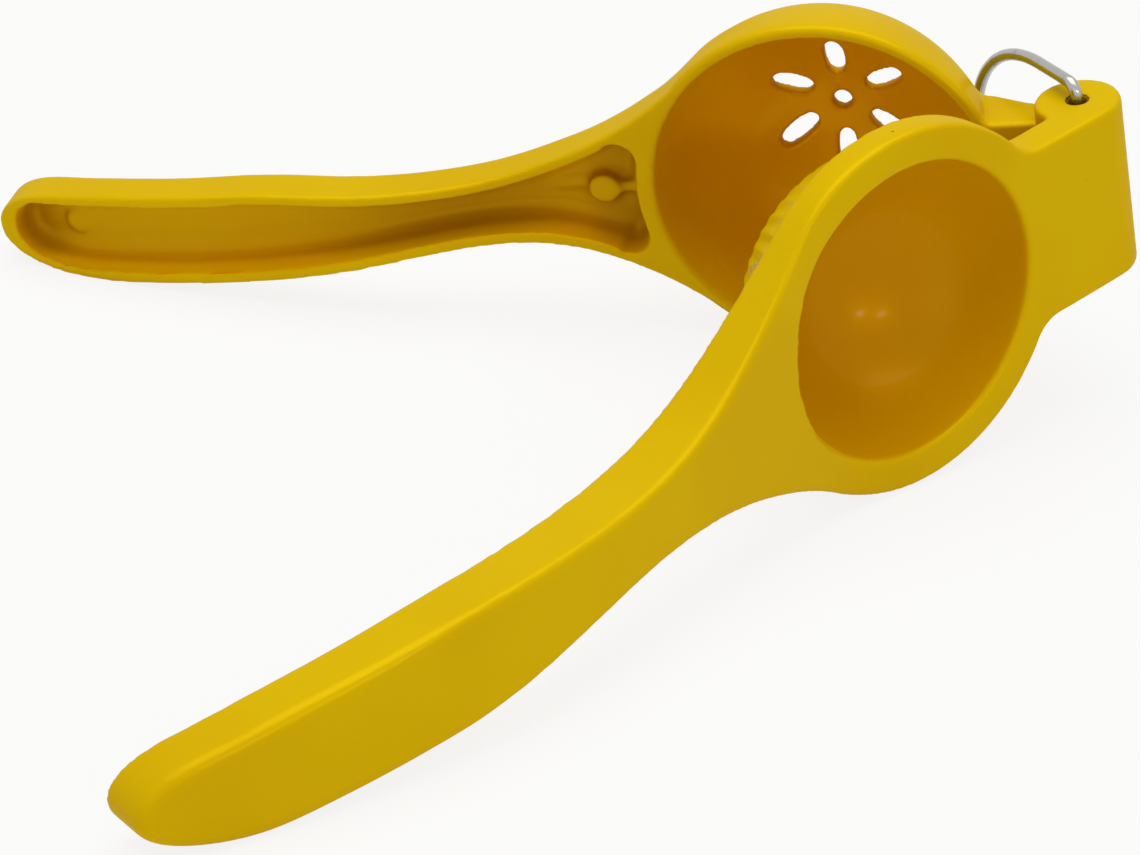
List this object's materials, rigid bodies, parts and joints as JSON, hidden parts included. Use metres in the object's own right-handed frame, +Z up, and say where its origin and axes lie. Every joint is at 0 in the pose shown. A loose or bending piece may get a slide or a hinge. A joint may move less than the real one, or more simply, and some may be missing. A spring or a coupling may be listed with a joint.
{
  "type": "hinged lemon squeezer",
  "caption": "Open hand citrus press lying on its side: ribbed dome half and slotted cup half with long curved handles, hinged on a bent wire hanging ring.",
  "frame": {"origin": "on the ground plane, under the middle of the open squeezer's bounding box", "axes": "+Z up, away from the ground that the open squeezer lies on; -X towards the handles' ends; +Y towards the cup half, -Y towards the press half"},
  "size_m": [0.2094, 0.2184, 0.0703],
  "materials": {
    "yellow_enamel": "smooth glossy enamel over a cast light alloy",
    "plated_wire": "bright plated steel wire"
  },
  "bodies": {
    "press_half": {"press_half": "yellow_enamel"},
    "cup_half": {"cup_half": "yellow_enamel"},
    "wire_ring": {"wire_ring": "plated_wire"}
  },
  "joints": [
    {"name": "jaw_hinge", "type": "hinge", "parent": "press_half", "child": "cup_half", "pos_m": [0.09393, 0.00656, 0.04351], "axis": [0.192, 0.01, -0.9814], "range_deg": [-51, 74]},
    {"name": "ring_swing", "type": "hinge", "parent": "cup_half", "child": "wire_ring", "pos_m": [0.09393, 0.00656, 0.04351], "axis": [0.192, 0.01, -0.9814], "range_deg": [0, 150]}
  ]
}
